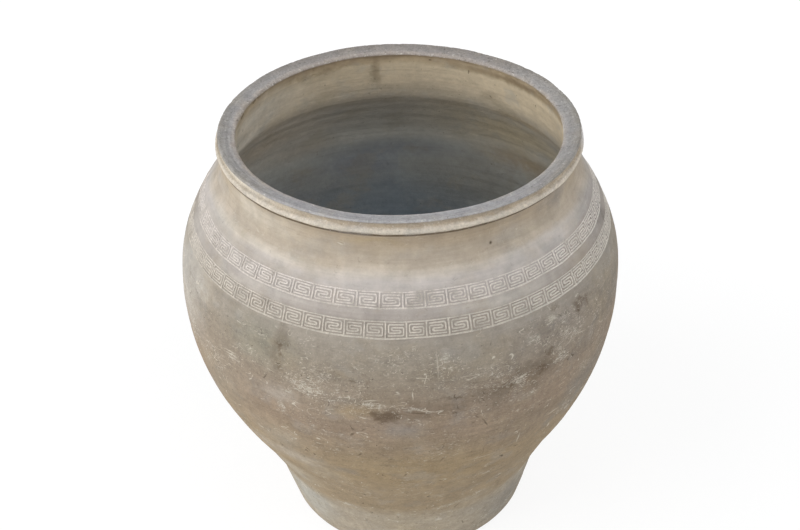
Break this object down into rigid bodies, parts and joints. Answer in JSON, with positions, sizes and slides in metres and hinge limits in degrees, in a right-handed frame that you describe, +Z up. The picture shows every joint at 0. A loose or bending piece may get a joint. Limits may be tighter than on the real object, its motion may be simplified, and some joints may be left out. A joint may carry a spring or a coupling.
{
  "type": "pithos storage jar",
  "caption": "Wide-mouthed ring-built earthenware storage jar with a rolled rim, concave neck, broad shoulder with pressed key-fret bands and a narrow foot.",
  "frame": {"origin": "centre of the underside of the base slab, on the ground", "axes": "+Z up along the jar's axis of turning; the pictured side faces -Y, with +X to its right"},
  "size_m": [0.5818, 0.5816, 0.588],
  "materials": {
    "brown_clay": "matte",
    "pale_clay": "matte",
    "grey_clay": "matte"
  },
  "bodies": {
    "root": {"base_slab": "grey_clay", "foot_ring": "grey_clay", "lower_wall_ring": "brown_clay", "lower_belly_ring": "brown_clay", "upper_belly_ring": "brown_clay", "shoulder_ring": "pale_clay", "neck_collar": "pale_clay", "rim_coil": "grey_clay"}
  },
  "joints": []
}
